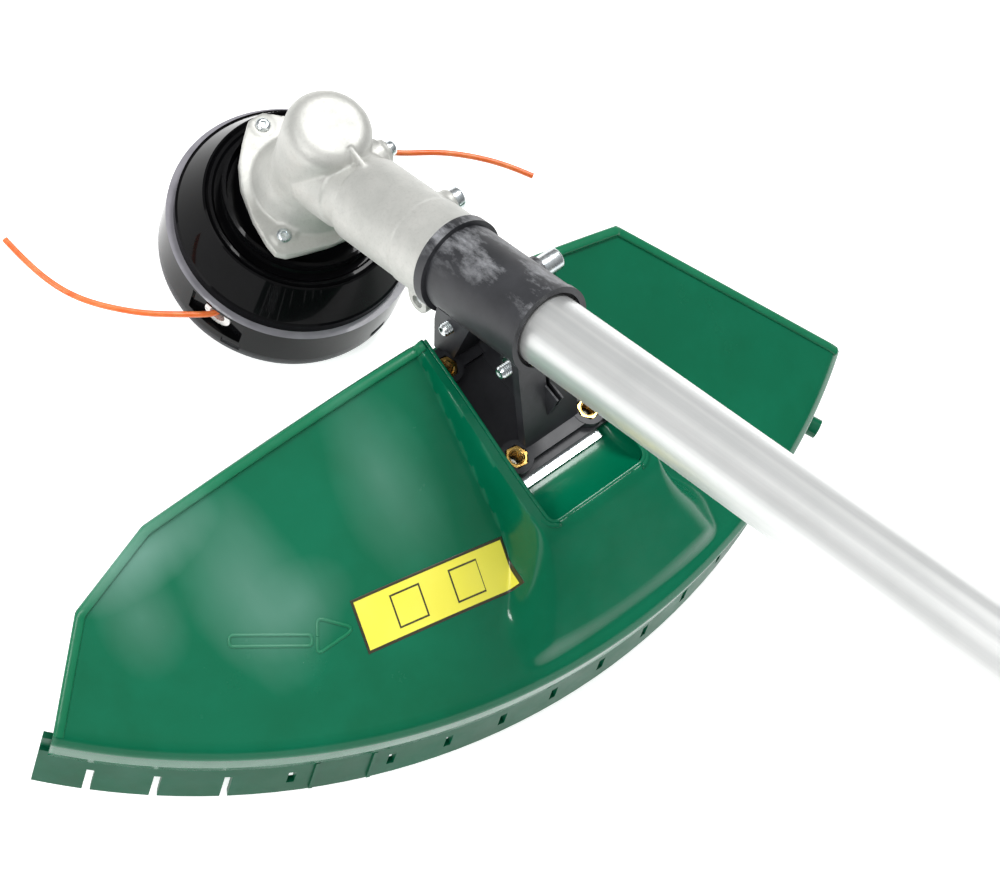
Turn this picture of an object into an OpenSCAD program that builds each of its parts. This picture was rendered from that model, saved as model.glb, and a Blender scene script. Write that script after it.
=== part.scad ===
// String trimmer, cutting end: tube, drive shaft, bevel gearbox, guard and bump-feed line head.
// Frame: origin at the centre of the bump knob's flat face, on the spindle axis.
// +Z runs up the spindle, -Y runs towards the operator's end of the tube, +X is to the operator's right.

/* [Tube] */
// Outer diameter of the tube
tube_d = 26; // [26:0.1:26.04]
// Wall thickness of the tube
tube_wall = 1.5; // [1.4:0.1:1.5]
// Distance along the tube's axis from the gear apex to the bare end
tube_end = 640; // [560:10:900]
// Angle of the tube above the cutting plane
tube_tilt = 28.5; // [28:0.5:29]

/* [Head] */
// Outer diameter of the line head
head_d = 98.8; // [98:0.2:99.4]
// How far the bump knob stands below the head's rim
knob_drop = 10; // [8:0.5:12]
// Travel of the bump knob
knob_travel = 6; // [4:0.5:6]
// Diameter of the cutting line
line_d = 2.4; // [2:0.1:2.4]

/* [Gears] */
// Teeth on the driven gear
gear_teeth = 19; // [19:1:19]
// Teeth on the drive pinion
pinion_teeth = 15; // [15:1:15]

/* [Guard] */
// Radius of the guard's rim
rim_r = 272; // [270:0.5:274]
// Height of the guard's lower rim above the head's rim
rim_z = 30; // [30:0.5:31]
// Wall thickness of the guard
guard_wall = 2.6; // [2.4:0.1:2.8]

/* [Bracket] */
// Spacing of the guard screws across the tube
screw_dx = 34; // [34:0.1:34.1]
// Spacing of the guard screws along the tube
screw_dy = 40.5; // [40.4:0.1:40.6]

/* [Hidden] */
$fn = 96;
tube_r = tube_d/2;
head_r = head_d/2;
apex_z = 72.3;
front_y = -94.2;
eyelet_a = 16.5;
gear_pitch = 10.5;
shaft_angle = 90 - tube_tilt;
gear_cone = atan2(sin(shaft_angle), pinion_teeth/gear_teeth + cos(shaft_angle));
pinion_cone = shaft_angle - gear_cone;
cone_len = gear_pitch/sin(gear_cone);
tooth_m = 2*gear_pitch/gear_teeth;

// Everything below is drawn from the head's rim plane, then lifted clear of the knob.
module lift() { translate([0, 0, knob_drop]) children(); }
// Local frame on the tube: +Z along the tube from the apex, +Y square to it and upwards.
module on_tube() { lift() translate([0, 0, apex_z]) rotate([90 - tube_tilt, 0, 0]) children(); }
module ring(ro, ri, h) { difference() { cylinder(r = ro, h = h); translate([0, 0, -1]) cylinder(r = ri, h = h + 2); } }
module along_x(x0, x1, y, z, r) { translate([x0, y, z]) rotate([0, 90, 0]) cylinder(r = r, h = x1 - x0); }
module hex(af, h) { cylinder(r = af/2/cos(30), h = h, $fn = 6); }

// ---------------------------------------------------------------- tube
module shaft_tube() color("gainsboro") on_tube() difference() {
  translate([0, 0, 44]) ring(tube_r, tube_r - tube_wall, tube_end - 44);
  along_x(8, 20, 4.5, 57, 2.7);                                  // hole for the locating bolt
  translate([0, 0, tube_end - 22]) rotate([-90, 0, 0]) cylinder(r = 4, h = 20);   // latch hole of the joint
  translate([0, 0, tube_end - 80]) ring(tube_r + 1, tube_r - 0.3, 1);             // insertion mark of the joint
}
module shaft_bushes() color("dimgray") on_tube()
  for (s = [120, 290, 450, 594]) translate([0, 0, s]) ring(tube_r - tube_wall, 4.05, 16);

// ---------------------------------------------------------------- gearbox
function dome(r, h, f) = [for (a = [0:10:90]) [r - f + f*cos(a), h - f + f*sin(a)]];
dome_r = 16.3;
flange = [[3.5, 33], [10, 27.5], [17, 20.7], [22.4, 12], [26.4, -1], [28, -12], [27.6, -16.5], [25, -19.5], [19, -21.5], [8, -24.6], [0, -25.6]];
flange_pts = concat(flange, [for (i = [len(flange) - 2:-1:0]) [-flange[i][0], flange[i][1]]]);
screw_pts = [[0, 28.6], [21.2, -12.6], [-21.2, -12.6]];
module gearbox_housing() color("lightgray") difference() {
  union() {
    lift() rotate_extrude() polygon(concat([[0, 52], [21, 52], [21, 56.8], [18.6, 59.2], [16.8, 62.5], [dome_r - 0.5, 68], [dome_r, 84]], dome(dome_r, 101.5, 9.5), [[0, 101.5]]));
    lift() translate([0, 0, 52]) linear_extrude(4.2) polygon(flange_pts);
    on_tube() cylinder(r = 15.2, h = 38);
    on_tube() translate([0, 0, 30]) cylinder(r = 16.6, h = 32);
    on_tube() translate([0, 0, 60]) cylinder(r = 17, h = 17.7);
    on_tube() along_x(-10, 10, -19.5, 67.2, 5);                  // ears of the neck clamp
    on_tube() translate([-10, -19.5, 62.2]) cube([20, 8, 10]);
    on_tube() along_x(8, 17.2, 4.5, 57, 5);                      // spot face of the locating bolt
    lift() along_x(8, 17.6, -14.4, 87.1, 5);                     // boss of the grease plug
    lift() translate([-0.9, -29, 92]) cube([1.8, 18, 10.5]);     // rib between dome and neck
  }
  // spindle space, from the seal at the bottom to the bearing in the dome
  lift() translate([0, 0, 51]) cylinder(r = 11.5, h = 4.5);      // seal seat
  lift() translate([0, 0, 55]) cylinder(r = 11, h = 8);          // lower bearing seat
  lift() translate([0, 0, 62]) cylinder(r = 10, h = 17);
  lift() translate([0, 0, 78]) cylinder(r = 12.5, h = 11.1);     // room for the driven gear
  lift() translate([0, 0, 88]) cylinder(r = 9.5, h = 7.5);       // upper bearing seat
  lift() translate([0, 0, 95]) cylinder(r = 6, h = 2);
  // pinion space, its bearings and the tube's socket
  on_tube() translate([0, 0, 8]) cylinder(r = 10, h = 12);
  on_tube() translate([0, 0, 19.5]) cylinder(r = 11, h = 17);
  on_tube() translate([0, 0, 36]) cylinder(r = 10.5, h = 9);
  on_tube() translate([0, 0, 44]) cylinder(r = tube_r + 0.02, h = 40);
  // clamp slit, holes and outside clearances
  on_tube() translate([-0.8, -30, 48]) cube([1.6, 18, 40]);
  on_tube() along_x(-12, 12, -19.5, 67.2, 2.55);
  on_tube() along_x(9, 24, 4.5, 57, 2.55);
  lift() along_x(7, 20, -14.4, 87.1, 2.05);
  for (p = screw_pts) lift() translate([p[0], p[1], 51]) cylinder(r = 2.05, h = 8);
}
module flange_screws() color("silver") lift() for (p = screw_pts) translate([p[0], p[1], 0]) difference() {
  union() { translate([0, 0, 52.1]) cylinder(r = 2, h = 4.2); translate([0, 0, 56.2]) cylinder(r = 2.9, h = 1.6); }
  translate([0, 0, 56.8]) hex(2.4, 2);
}
module grease_plug() color("silver") lift() translate([0, -14.4, 87.1]) rotate([0, 90, 0]) difference() {
  union() { translate([0, 0, 11.5]) cylinder(r = 2, h = 7); translate([0, 0, 17.6]) cylinder(r = 3.8, h = 0.9); translate([0, 0, 18.5]) cylinder(r = 2.9, h = 2.8); }
  translate([0, 0, 19.6]) hex(2.6, 3);
}
module locating_bolt() color("silver") on_tube() translate([0, 4.5, 57]) rotate([0, 90, 0]) difference() {
  union() { translate([0, 0, 10.2]) cylinder(r = 2.5, h = 8); translate([0, 0, 17.2]) cylinder(r = 4.2, h = 4); }
  translate([0, 0, 19]) hex(4, 4);
}
module neck_clamp_bolt() color("silver") on_tube() translate([0, -19.5, 67.2]) rotate([0, 90, 0]) difference() {
  union() { translate([0, 0, -8.6]) cylinder(r = 2.5, h = 19); translate([0, 0, 10]) cylinder(r = 5, h = 1); translate([0, 0, 10.9]) cylinder(r = 4.2, h = 4.6); }
  translate([0, 0, 12.6]) hex(4, 4);
}
module bearing_outer_races() color("lightsteelblue") {
  lift() translate([0, 0, 55.5]) ring(11, 9.2, 6);
  lift() translate([0, 0, 89.4]) ring(9.5, 7.6, 6);
  on_tube() translate([0, 0, 20]) ring(11, 9.2, 7);
  on_tube() translate([0, 0, 27.4]) ring(11, 9.2, 7);
}
module spindle_inner_races() color("lightsteelblue") lift() {
  translate([0, 0, 55.5]) ring(6.4, 5, 6);
  translate([0, 0, 89.4]) ring(4.6, 3, 6);
}
module pinion_inner_races() color("lightsteelblue") on_tube() {
  translate([0, 0, 20]) ring(6.2, 4, 7);
  translate([0, 0, 27.4]) ring(6.2, 4, 7);
}
module balls(n, pr, br) { for (i = [0:n - 1]) rotate([0, 0, i*360/n]) translate([pr, 0, 0]) sphere(r = br, $fn = 32); }
module spindle_bearing_balls() color("silver") lift() {
  translate([0, 0, 58.5]) balls(9, 7.8, 1.3);
  translate([0, 0, 92.4]) balls(7, 6.1, 1.4);
}
module pinion_bearing_balls() color("silver") on_tube() {
  translate([0, 0, 23.5]) balls(8, 7.7, 1.4);
  translate([0, 0, 30.9]) balls(8, 7.7, 1.4);
}
module spindle_seal() color("black") lift() translate([0, 0, 52.2]) ring(11.5, 5.05, 3);
module bearing_circlips() color("dimgray") {
  difference() { on_tube() translate([0, 0, 34.6]) ring(11, 8.9, 1.1); on_tube() translate([-1.5, 5, 34]) cube([3, 9, 2.4]); }
}

// A row of straight bevel teeth that taper to the apex at the origin; the row's axis is +Z.
module bevel_teeth(n, cone, len, face, turn) {
  add = 0.7*tooth_m; ded = 0.95*tooth_m;
  function pt(a, c, l) = [l*sin(c)*cos(a), l*sin(c)*sin(a), l*cos(c)];
  ta = atan(add/len); da = atan(ded/len);
  p = 360/n;
  for (i = [0:n - 1]) rotate([0, 0, turn + i*p])
    polyhedron(points = [pt(-0.20*p, cone - da, len), pt(0.20*p, cone - da, len), pt(0.085*p, cone + ta, len), pt(-0.085*p, cone + ta, len),
                         pt(-0.20*p, cone - da, len - face), pt(0.20*p, cone - da, len - face), pt(0.085*p, cone + ta, len - face), pt(-0.085*p, cone + ta, len - face)],
      faces = [[0, 1, 2, 3], [7, 6, 5, 4], [4, 5, 1, 0], [5, 6, 2, 1], [6, 7, 3, 2], [7, 4, 0, 3]]);
}
// Solid of the gear blank under the teeth, between two cone distances, about +Z from the apex.
module blank(cone, len, face, bore, back) {
  da = atan(0.9*tooth_m/len); c = cone - da; l0 = len - face;
  rotate_extrude() polygon([[bore, l0*cos(c)], [l0*sin(c), l0*cos(c)], [len*sin(c), len*cos(c)], [len*sin(c), back], [bore, back]]);
}
module driven_gear() color("darkgray") lift() translate([0, 0, apex_z]) {
  blank(gear_cone, cone_len, 5, 4, 16.6);
  bevel_teeth(gear_teeth, gear_cone, cone_len, 5, -90 + 180/gear_teeth);
}
module drive_pinion() color("darkgray") on_tube() difference() {
  union() {
    blank(pinion_cone, cone_len, 5, 0, 18.4);
    bevel_teeth(pinion_teeth, pinion_cone, cone_len, 5, 90);
    translate([0, 0, 18]) cylinder(r = 4, h = 20);
    translate([0, 0, 36.4]) cylinder(r = 7.5, h = 14);
  }
  translate([-2.6, -2.6, 40]) cube([5.2, 5.2, 12]);
}
module drive_shaft() color("silver") on_tube() difference() {
  union() {
    translate([0, 0, 51.5]) cylinder(r = 4, h = tube_end - 3 - 51.5);
    translate([-2.55, -2.55, 41]) cube([5.1, 5.1, 11]);
    translate([-2.55, -2.55, tube_end - 4]) cube([5.1, 5.1, 18]);
  }
}

// ---------------------------------------------------------------- spindle and head
module output_spindle() color("silver") lift() {
  translate([0, 0, 28]) cylinder(r = 4, h = 16.4);
  translate([0, 0, 44.2]) cylinder(r = 5, h = 19.8);
  translate([0, 0, 63.8]) cylinder(r = 4, h = 25.2);
  translate([0, 0, 88.8]) cylinder(r = 3, h = 7);
}
module dust_cup() color("black") lift() rotate_extrude()
  polygon([[5, 44.3], [29.5, 44.3], [31.6, 46.4], [31.6, 50.8], [30.2, 50.8], [30.2, 46.9], [29, 46], [9, 46], [9, 50.4], [5, 50.4]]);
module head_housing() color([0.05, 0.05, 0.055]) lift() difference() {
  union() {
    for (k = [0, 180]) intersection() {                              // pads behind the eyelets
      rotate([0, 0, eyelet_a + k]) translate([43.6, -13, 9]) cube([5, 26, 14]);
      cylinder(r = 48.6, h = 30);
    }
  rotate_extrude() polygon([[4.02, 36.4], [4.02, 44.2], [30, 44.2], [31.2, 42.6], [33.6, 42.6], [34.6, 43.6], [35.8, 43.6], [36.4, 42.8], [37.2, 43.8],
    [38, 43.5], [45.5, 29.4], [46.4, 29.0], [46.4, 24.5], [head_r, 24.5], [head_r, 3.2], [46.9, 3.2], [46.9, 22], [43.4, 25],
    [43, 28.6], [36.2, 40.4], [10.6, 40.4], [10.6, 27.4], [5.8, 27.4], [5.8, 36.4]]);
  }
  for (k = [0, 180]) rotate([0, 0, eyelet_a + k]) {
    translate([46.2, -12, 9.2]) cube([6, 24, 13.8]);                   // recess round the eyelet
    translate([40, 0, 16.8]) rotate([0, 90, 0]) cylinder(r = 4.95, h = 14);
  }
  translate([0, 0, 27]) hex(12.26, 9.4);
  // notches of the cover's catches
  for (a = [-153, -80, 27, 100]) rotate([0, 0, a]) translate([45, -4, 2]) cube([6, 8, 5.2]);
}
module arbor_nut() color("silver") lift() difference() {
  translate([0, 0, 28.6]) hex(12.2, 7.8);
  translate([0, 0, 27]) cylinder(r = 4.02, h = 12);
}
module head_cover() color([0.05, 0.05, 0.055]) lift() {
  rotate_extrude() polygon([[18.2, 0.8], [40, 0.8], [43, 0], [head_r - 1, 0], [head_r, 1], [head_r, 3], [46.7, 3], [46.7, 8], [44.9, 8], [44.9, 3], [20.2, 3], [20.2, 4], [18.2, 4]]);
  for (a = [-153, -80, 27, 100]) rotate([0, 0, a]) translate([46.6, -3.8, 2.9]) cube([2, 7.6, 4]);
}
module line_eyelets() color("white") lift() for (k = [0, 180]) rotate([0, 0, eyelet_a + k]) translate([0, 0, 16.8]) rotate([0, 90, 0]) difference() {
  union() { translate([0, 0, 43.5]) cylinder(r = 4.9, h = 3.2); translate([0, 0, 46.2]) cylinder(r = 5.8, h = 1.2); }
  translate([0, 0, 40]) cylinder(r = 3.4, h = 12);
}
// Free ends of the cutting line: each route starts inside its eyelet.
left_route = [[-42, -12.3, 17], [-44.6, -13, 17], [-47, -12.4, 17], [-50.5, -10.4, 17.2], [-56, -7, 17.4], [-62, -3.2, 17.8], [-67.5, 0, 18], [-73, 5, 18], [-78, 9.8, 18],
  [-82.5, 14.8, 18], [-86, 19.6, 18], [-89, 25, 18], [-91.2, 31, 18], [-92.7, 37, 18], [-93.7, 43, 18], [-94.5, 49, 18], [-95, 54, 18]];
right_route = [[42, 12.3, 17], [44.6, 13, 17], [47, 12.4, 17], [50, 10.6, 17.2], [53.4, 7.6, 17.4], [56.8, 4.8, 17.6], [61.6, 1.6, 17.8], [66.8, -1, 18], [72.2, -4.2, 18], [77.5, -8.2, 18],
  [82.8, -13, 18], [87.7, -17.8, 18], [91.6, -22.6, 18], [95.2, -27.6, 18], [98.4, -32.8, 18]];
function unit(v) = v/norm(v);
function dir_at(p, i) = unit(p[min(i + 1, len(p) - 1)] - p[max(i - 1, 0)]);
function swept_ring(p, i, r, n) = let (t = dir_at(p, i), u = unit(cross([0, 0, 1], t)), v = cross(t, u)) [for (k = [0:n - 1]) p[i] + r*(cos(k*360/n)*u + sin(k*360/n)*v)];
module swept(p, r, n = 8) {
  m = len(p);
  polyhedron(points = [for (i = [0:m - 1]) each swept_ring(p, i, r, n)],
    faces = concat([[for (k = [0:n - 1]) k]], [for (i = [0:m - 2]) for (k = [0:n - 1]) [i*n + k, (i + 1)*n + k, (i + 1)*n + (k + 1)%n, i*n + (k + 1)%n]],
      [[for (k = [n - 1:-1:0]) (m - 1)*n + k]]));
}
module line_end_left() color("orange") lift() swept(left_route, line_d/2);
module line_end_right() color("orange") lift() swept(right_route, line_d/2);

module bump_knob() color([0.07, 0.07, 0.075]) lift() difference() {
  rotate_extrude() polygon([[0, -knob_drop], [11, -knob_drop], [14.5, -knob_drop + 0.8], [16.8, -knob_drop + 3], [17.6, -knob_drop + 6], [17.6, 3.6], [17, 4.4], [8, 4.4],
    [8, 16.5], [7, 17.5], [4.5, 17.5], [4.5, 4], [0, 4]]);
  for (i = [0:11]) rotate([0, 0, i*30 + 15]) translate([19.2, 0, -5]) cylinder(r = 2.6, h = 6, $fn = 24);
}
module line_spool() color([0.16, 0.16, 0.17]) lift() difference() {
  rotate_extrude() polygon([[8.08, 4.6], [42, 4.6], [42, 6.4], [17, 6.4], [17, 16.4], [42, 16.4], [42, 18.2], [14.5, 18.2], [14.5, 17], [8.08, 17]]);
  for (k = [0:3]) rotate([0, 0, eyelet_a + k*90]) translate([40, -1.6, 15]) cube([4, 3.2, 5]);
}
module line_winding() color("orange") lift() rotate_extrude()
  polygon(concat([[17, 16.2], [17, 6.6]], [for (z = [6.6:0.6:16.2]) [33 + 0.55*cos((z - 6.6)*300), z]]));
module knob_spring() color("silver") lift() {
  z0 = 17.95; z1 = 39.45; n = 5.5; steps = 66; wr = 0.85;
  swept([for (i = [0:steps]) let (f = i/steps, a = 360*n*f, q = f < 0.1 ? f*0.5 : (f > 0.9 ? 0.95 + (f - 0.9)*0.5 : 0.05 + (f - 0.1)*0.9/0.8))
    [12.2*cos(a), 12.2*sin(a), z0 + (z1 - z0)*q]], wr, 6);
}

// ---------------------------------------------------------------- guard bracket
ins = [for (x = [-1, 1]) for (y = [0, 1]) [x*screw_dx/2, front_y - y*screw_dy]];
module guard_bracket() color([0.13, 0.13, 0.135]) difference() {
  union() {
    on_tube() translate([0, 0, 78]) cylinder(r = 18, h = 4);
    on_tube() translate([0, 0, 81]) cylinder(r = 15.9, h = 4);
    on_tube() translate([0, 0, 83.2]) cylinder(r = 16.3, h = 44);
    on_tube() translate([0, 0, 126.2]) cylinder(r = 16.7, h = 2.3);
    // front web down to the base
    lift() intersection() {
      translate([-13, -150, 82]) cube([26, 90, 60]);
      translate([30, 0, 0]) rotate([90, 0, -90]) linear_extrude(60) polygon([[84, 82], [93, 82], [93, 112], [84, 112], [77.5, 104], [79, 96]]);
    }
    lift() translate([-1.5, -130, 82]) cube([3, 40, 26]);            // web along the middle
    // rear plate, square to the tube
    intersection() {
      on_tube() translate([-12.4, -56, 121.6]) cube([24.8, 46, 3.6]);
      lift() translate([-20, -160, 82]) cube([40, 100, 60]);
    }
    // lugs of the two pinch bolts
    on_tube() along_x(-11, 11, -15.7, 88.8, 5.4);
    on_tube() along_x(8, 29.1, -15.7, 88.8, 5.4);
    on_tube() along_x(-11, 11, -15.7, 119.2, 5.4);
    // base plate, its four bosses and two cross ribs
    lift() translate([-23.4, -141.6, 80]) cube([46.8, 55.6, 4]);
    for (p = ins) lift() translate([p[0], p[1], 80]) cylinder(r = 6.3, h = 7.6);
    lift() translate([-17, -138.6, 83]) cube([34, 5.8, 4.4]);
    lift() translate([-17, -97, 83]) cube([34, 5.8, 4.4]);
  }
  on_tube() translate([0, 0, 74]) cylinder(r = 14.4, h = 60);
  on_tube() translate([-0.8, -36, 74]) cube([1.6, 26, 60]);       // clamp slit
  on_tube() along_x(-14, 31, -15.7, 88.8, 2.53);
  on_tube() along_x(-14, 14, -15.7, 119.2, 2.53);
  on_tube() along_x(11, 22, -15.7, 119.2, 4.7);
  for (s = [88.8, 119.2]) on_tube() translate([-12, -15.7, s]) rotate([0, 90, 0]) hex(8.06, 5.2);
  on_tube() translate([-18, -8, 86.4]) cube([5, 2, 6]);          // narrow window in the sleeve
  for (p = ins) lift() translate([p[0], p[1], 79]) cylinder(r = 2.6, h = 10);
  for (p = ins) lift() translate([p[0], p[1], 80.6]) hex(8, 10);
  lift() translate([-10, -126, 79]) cube([20, 26, 3.2]);
}
module sleeve_liner() color([0.09, 0.09, 0.09]) on_tube() difference() {
  translate([0, 0, 79]) ring(14.4, tube_r, 47.6);
  translate([-1, -20, 74]) cube([2, 12, 70]);
  for (s = [88.8, 119.2]) { along_x(-18, 18, -15.7, s, 2.8); along_x(-13, -6.4, -15.7, s, 5); }
}
module pinch(x1, s) {
  on_tube() translate([0, -15.7, s]) rotate([0, 90, 0]) difference() {
    union() { translate([0, 0, -16.1]) cylinder(r = 2.5, h = 16.1 + x1); translate([0, 0, x1]) cylinder(r = 4.25, h = 9); }
    translate([0, 0, x1 + 5]) hex(4, 6);
  }
}
module pinch_bolts() color("silver") { pinch(29.1, 88.8); pinch(11, 119.2); }
module pinch_nuts() color("silver") for (s = [88.8, 119.2]) on_tube() translate([-10.9, -15.7, s]) rotate([0, 90, 0]) difference() {
  hex(8, 4.1); translate([0, 0, -1]) cylinder(r = 2.52, h = 8);
}
module brass_inserts() color("goldenrod") for (p = ins) lift() translate([p[0], p[1], 80.6]) difference() {
  hex(7.96, 6.9);
  translate([0, 0, -1]) cylinder(r = 2.52, h = 10);
}
module guard_screws() color("silver") for (p = ins) lift() translate([p[0], p[1], 0]) difference() {
  union() { translate([0, 0, 75.2]) cylinder(r = 2.5, h = 9.6); translate([0, 0, 71]) cylinder(r = 4.25, h = 4.4); }
  translate([0, 0, 70]) hex(4, 3.4);
}
module clamp_plate() color("lightsteelblue") lift() difference() {
  union() { translate([-22.6, -141, 78]) cube([45.2, 54, 2]); translate([-18, -144.8, 78]) cube([36, 5, 2]); }
  for (p = ins) translate([p[0], p[1], 77]) cylinder(r = 2.6, h = 4);
}

// ---------------------------------------------------------------- guard
// The guard is a slice of a shallow cone about a line 67 mm ahead of the spindle, with an upright rim.
outline = [[-137.5, -80.6], [-24.5, -84], [24.5, -79], [70.5, -85.3], [141, -165], [170, -198], [170, -300], [-260, -300], [-260, -183], [-200.5, -121.5], [-170, -90]];
function skin(r) = 48 + 0.437*(268 - r);
module about_cone() { lift() translate([0, 67, 0]) children(); }
module cone_skin(dz, t) { about_cone() rotate_extrude($fn = 240) polygon([[120, skin(120) + dz - t], [120, skin(120) + dz], [rim_r - 5, skin(267) + dz], [rim_r - 3, skin(268) + dz - 1], [rim_r - 3, skin(268) + dz - 1 - t], [rim_r - 5, skin(267) + dz - t]]); }
module rim_wall() { about_cone() rotate_extrude($fn = 240)
  polygon([[rim_r - 5, skin(267) - guard_wall], [rim_r - 5, skin(267)], [rim_r - 2.6, 47], [rim_r, 43.5], [rim_r, rim_z], [rim_r - guard_wall, rim_z], [rim_r - guard_wall, 43]]); }
module saddle(g) {   // raised box round the bracket's base; g shrinks it all round
  lift() intersection() {
    translate([0, 0, 0]) rotate([90, 0, 0]) translate([0, 0, 60]) linear_extrude(160) polygon([[-33 + g, 52], [33 - g, 52], [26.4 - g, 101 - g], [-26.4 + g, 101 - g]]);
    translate([60, 0, 0]) rotate([90, 0, -90]) linear_extrude(120) polygon([[80, 52], [80, 100 - g], [84, 100 - g], [137, 90.5 - g], [164 - g, 88 - g], [191 - g, 52]]);
  }
}
module guard_shell() color([0.05, 0.36, 0.24]) difference() {
  intersection() {
    lift() translate([0, 0, -10]) linear_extrude(130) polygon(outline);
    union() {
      difference() { union() { cone_skin(0, guard_wall); rim_wall(); } saddle(2.5); }
      difference() {
        saddle(0);
        difference() { saddle(2.5); lift() translate([-40, -200, 75.4]) cube([80, 140, 2.6]); }
        about_cone() rotate_extrude($fn = 240) polygon([[100, 20], [100, skin(100) - guard_wall], [rim_r - 5, skin(267) - guard_wall], [rim_r - 5, 20]]);
      }
      lift() intersection() { saddle_floor(); translate([-30, -170, 70]) cube([60, 100, 20]); }
    }
  }
  lift() translate([-23.5, -162, 78]) cube([47, 100, 40]);         // recess that takes the bracket
  for (p = ins) lift() translate([p[0], p[1], 60]) cylinder(r = 2.6, h = 30);
  on_tube() translate([0, 0, 60]) cylinder(r = 19, h = 90);
  on_tube() along_x(12, 45, -15.7, 88.8, 6.2);                     // relief for the long pinch bolt
}
slot_a = [241.4, for (k = [0:9]) 249.2 + 4.7*k];
module saddle_floor() { translate([-25, -164, 75.4]) cube([50, 84, 2.6]); }
module guard_skirt() color([0.08, 0.40, 0.28]) difference() {
  union() {
    about_cone() rotate([0, 0, 222.5]) rotate_extrude(angle = 78.2, $fn = 240)
      polygon([[rim_r - 2.9, 40], [rim_r - 2.9, 29.7], [rim_r - 1.4, 29.7], [rim_r + 3, 5.5], [rim_r + 0.6, 5.5], [rim_r - 3.8, 28], [rim_r - 5.3, 29.5], [rim_r - 5.3, 40]]);
    for (y = [-6, 8]) about_cone() rotate([0, 0, 231]) translate([rim_r - 6.5, y, 17]) rotate([0, 90, 0]) cylinder(r = 4, h = 6);
    for (a = [243.1, 247.6]) about_cone() rotate([0, 0, a]) translate([rim_r - 1.4, 0, 29.7]) rotate([0, -10.3, 0]) translate([-1, -0.7, -23]) cube([1.9, 1.4, 21]);
  }
  for (a = [226.5, 231.4, 236.6]) about_cone() rotate([0, 0, a]) translate([rim_r - 3.4, -1.4, 4]) cube([10, 2.8, 17]);
  for (a = slot_a) about_cone() rotate([0, 0, a]) translate([rim_r - 5, -1.4, 13]) cube([12, 2.8, 8]);
  for (y = [-6, 8]) about_cone() rotate([0, 0, 231]) translate([rim_r - 14, y, 17]) rotate([0, 90, 0]) cylinder(r = 2.05, h = 11.5);
  about_cone() rotate([0, 0, 296.7]) translate([rim_r - 8, 0, 20]) rotate([0, 90, 0]) cylinder(r = 2.55, h = 14);
}
module skirt_peg() color([0.05, 0.36, 0.24]) about_cone() rotate([0, 0, 296.7]) translate([0, 0, 20]) rotate([0, 90, 0]) {
  translate([0, 0, rim_r - 5]) cylinder(r = 2.5, h = 7);
  translate([0, 0, rim_r + 1.6]) cylinder(r = 4, h = 5.9);
}
module line_cutter() color("silver") about_cone() rotate([0, 0, 231]) difference() {
  translate([rim_r - 8.1, -14, 10]) union() { cube([1.6, 28, 14]); translate([-13, 0, 0]) cube([14, 1.6, 14]); }
  for (y = [-6, 8]) translate([rim_r - 12, y, 17]) rotate([0, 90, 0]) cylinder(r = 2.05, h = 8);
  translate([rim_r - 22, -15, 24]) rotate([0, 30, 0]) cube([3, 4, 20], center = true);
}
module cutter_screws() color("silver") about_cone() rotate([0, 0, 231]) for (y = [-6, 8]) translate([0, y, 17]) rotate([0, 90, 0]) {
  translate([0, 0, rim_r - 10.3]) cylinder(r = 3.6, h = 2.2);
  translate([0, 0, rim_r - 8.6]) cylinder(r = 2, h = 5.6);
}
label_pts = [[-91, -140], [-32, -152], [-35.6, -170], [-94.5, -158]];
module side_label() color("yellow") intersection() {
  lift() linear_extrude(120) polygon(label_pts);
  cone_skin(0.35, 0.3);
}

shaft_tube();
shaft_bushes();
gearbox_housing();
flange_screws();
grease_plug();
locating_bolt();
neck_clamp_bolt();
bearing_outer_races();
spindle_seal();
bearing_circlips();
guard_bracket();
sleeve_liner();
pinch_bolts();
pinch_nuts();
brass_inserts();
guard_screws();
clamp_plate();
guard_shell();
guard_skirt();
skirt_peg();
line_cutter();
cutter_screws();
side_label();
drive_pinion();
pinion_inner_races();
pinion_bearing_balls();
drive_shaft();
output_spindle();
driven_gear();
spindle_inner_races();
spindle_bearing_balls();
dust_cup();
head_housing();
head_cover();
arbor_nut();
line_eyelets();
line_end_left();
line_end_right();
knob_spring();
bump_knob();
line_spool();
line_winding();
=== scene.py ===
import bpy, bmesh, math
from mathutils import Vector, Matrix


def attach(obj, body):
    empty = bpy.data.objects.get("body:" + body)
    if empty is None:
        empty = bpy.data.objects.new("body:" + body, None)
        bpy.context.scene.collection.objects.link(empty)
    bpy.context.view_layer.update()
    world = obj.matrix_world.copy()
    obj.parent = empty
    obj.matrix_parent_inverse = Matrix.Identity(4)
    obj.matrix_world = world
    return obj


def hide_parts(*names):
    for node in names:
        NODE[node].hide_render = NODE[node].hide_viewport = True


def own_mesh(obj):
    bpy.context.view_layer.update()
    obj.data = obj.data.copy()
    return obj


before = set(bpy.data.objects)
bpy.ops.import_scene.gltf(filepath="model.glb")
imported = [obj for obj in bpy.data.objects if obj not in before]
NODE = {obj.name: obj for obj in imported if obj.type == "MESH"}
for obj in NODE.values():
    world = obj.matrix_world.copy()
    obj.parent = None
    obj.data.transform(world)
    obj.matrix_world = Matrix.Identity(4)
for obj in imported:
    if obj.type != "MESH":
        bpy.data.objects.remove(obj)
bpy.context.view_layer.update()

SC = bpy.context.scene
SC.view_settings.view_transform = "Standard"
KD = 10.0                                   # the rim plane stands this far above the knob's face, mm
C28, S28 = math.cos(math.radians(28.5)), math.sin(math.radians(28.5))


def W(x, y, z):
    """A point given from the head's rim plane in mm, in the row frame in metres."""
    return Vector((x, y, z + KD)) * 0.001


def TB(x, p, s):
    """A point on the tube: x across, p square to the tube and upwards, s along it from the gear apex."""
    return W(x, p * S28 - s * C28, 72.3 + p * C28 + s * S28)


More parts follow.
